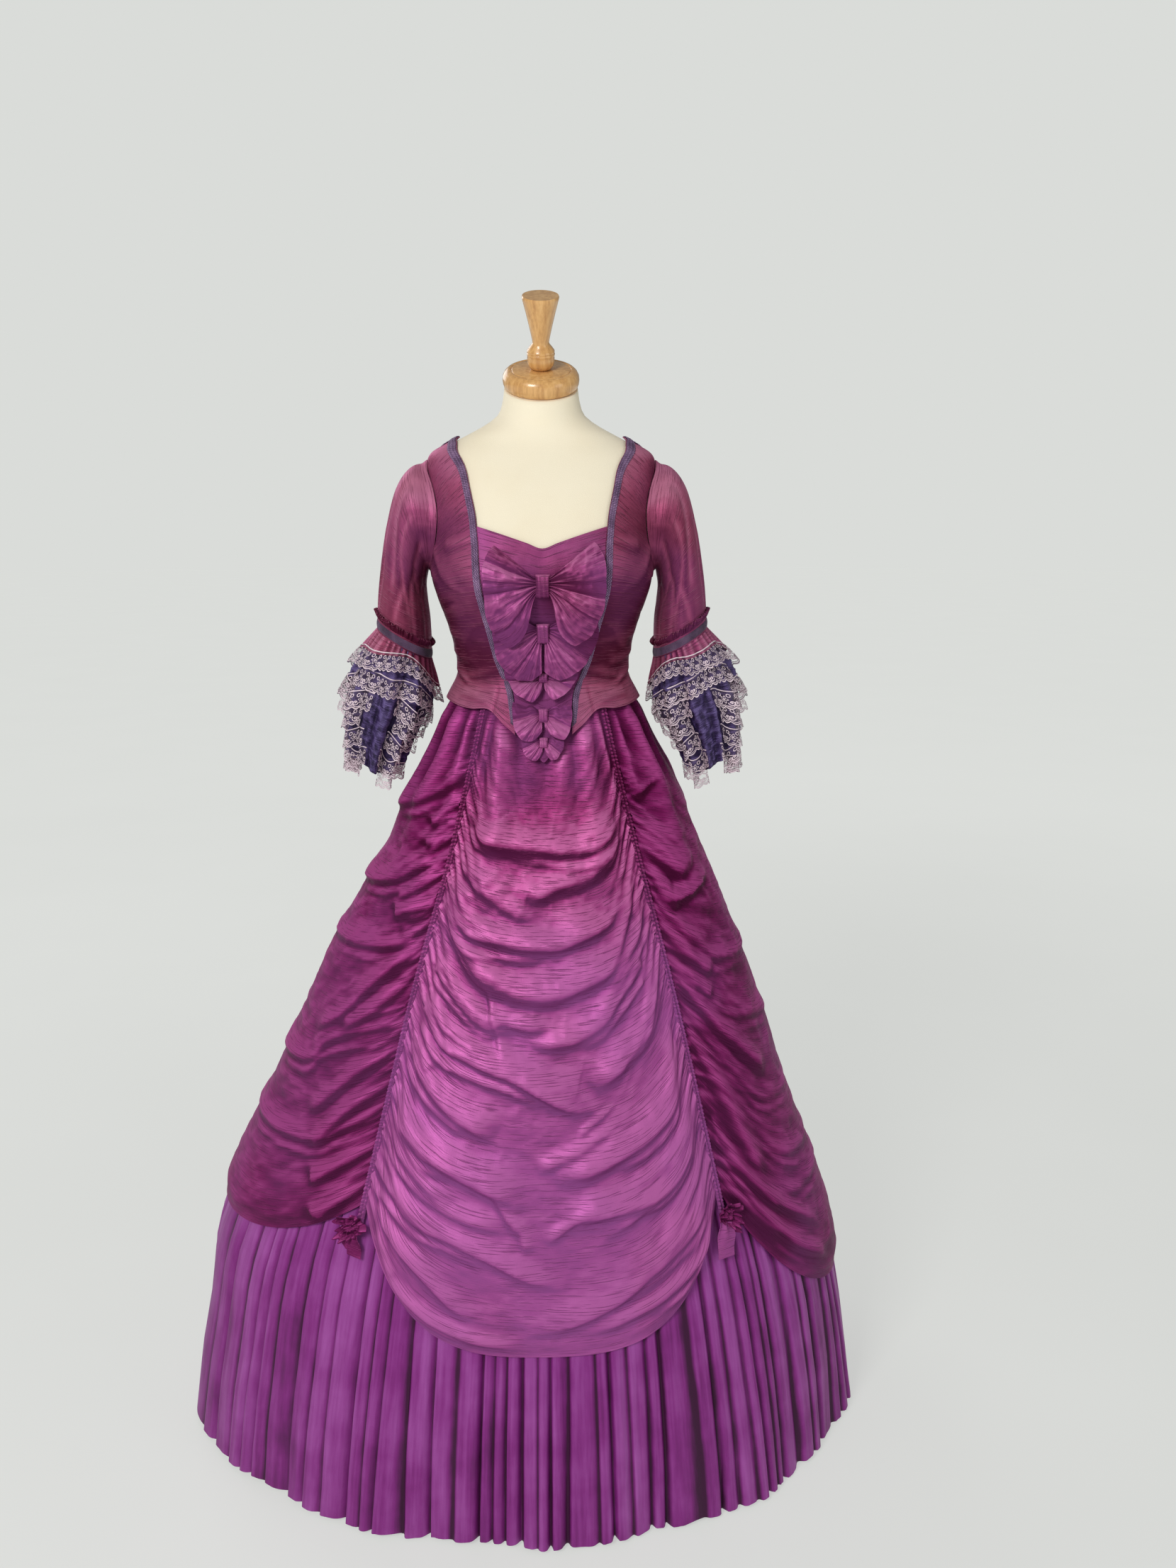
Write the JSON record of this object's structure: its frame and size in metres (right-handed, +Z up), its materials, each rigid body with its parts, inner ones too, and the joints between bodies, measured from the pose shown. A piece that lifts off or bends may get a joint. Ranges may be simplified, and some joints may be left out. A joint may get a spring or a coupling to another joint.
{
  "type": "rococo gown on a dress form",
  "caption": "Rococo gown with a bowed bodice, frilled elbow sleeves, a ruched swagged overskirt and a pleated petticoat, worn by a limbless dress form on a round stand.",
  "frame": {"origin": "on the floor, under the middle of the stand's round base", "axes": "+Z up; the gown faces -Y; +X is the wearer's left, on the right of the picture"},
  "size_m": [1.0122, 0.805, 1.6214],
  "materials": {
    "linen": "matt linen cover, stretched smooth",
    "wood": "gloss varnish",
    "rose_silk": "shot slubbed silk",
    "magenta_silk": "shot slubbed silk with a violet cast",
    "purple_cotton": "plain matt weave",
    "violet_cotton": "crinkled matt weave",
    "slate_braid": "scroll gimp braid",
    "mauve_lace": "embroidered net"
  },
  "bodies": {
    "root": {"form_torso": "linen", "neck_cap": "wood", "neck_finial": "wood", "stand_base": "wood", "stand_pole": "wood", "stomacher": "rose_silk", "bodice_front_left": "rose_silk", "bodice_front_right": "rose_silk", "bodice_back_left": "rose_silk", "bodice_back_right": "rose_silk", "braid_front_left": "slate_braid", "braid_front_right": "slate_braid", "braid_back_left": "slate_braid", "braid_back_right": "slate_braid", "bow_1": "magenta_silk", "bow_2": "magenta_silk", "bow_3": "magenta_silk", "bow_4": "magenta_silk", "bow_5": "magenta_silk", "bow_knot_1": "magenta_silk", "bow_knot_2": "magenta_silk", "bow_knot_3": "magenta_silk", "bow_knot_4": "magenta_silk", "bow_knot_5": "magenta_silk", "sleeve_left": "rose_silk", "sleeve_right": "rose_silk", "cuff_heading_left": "rose_silk", "cuff_heading_right": "rose_silk", "cuff_braid_left": "slate_braid", "cuff_braid_right": "slate_braid", "flounce_silk_left": "rose_silk", "flounce_silk_right": "rose_silk", "flounce_short_left": "violet_cotton", "flounce_short_right": "violet_cotton", "flounce_long_left": "violet_cotton", "flounce_long_right": "violet_cotton", "lace_silk_left": "mauve_lace", "lace_silk_right": "mauve_lace", "lace_short_left": "mauve_lace", "lace_short_right": "mauve_lace", "lace_long_left": "mauve_lace", "lace_long_right": "mauve_lace", "overskirt_front": "magenta_silk", "overskirt_left": "magenta_silk", "overskirt_right": "magenta_silk", "overskirt_back": "magenta_silk", "ruching_left_front": "magenta_silk", "ruching_right_front": "magenta_silk", "ruching_left_back": "magenta_silk", "ruching_right_back": "magenta_silk", "tie_left": "magenta_silk", "tie_right": "magenta_silk", "petticoat_top": "purple_cotton", "petticoat_flounce_1": "purple_cotton", "petticoat_flounce_2": "purple_cotton", "petticoat_flounce_3": "purple_cotton", "petticoat_flounce_4": "purple_cotton", "petticoat_flounce_5": "purple_cotton", "petticoat_flounce_6": "purple_cotton"}
  },
  "joints": []
}
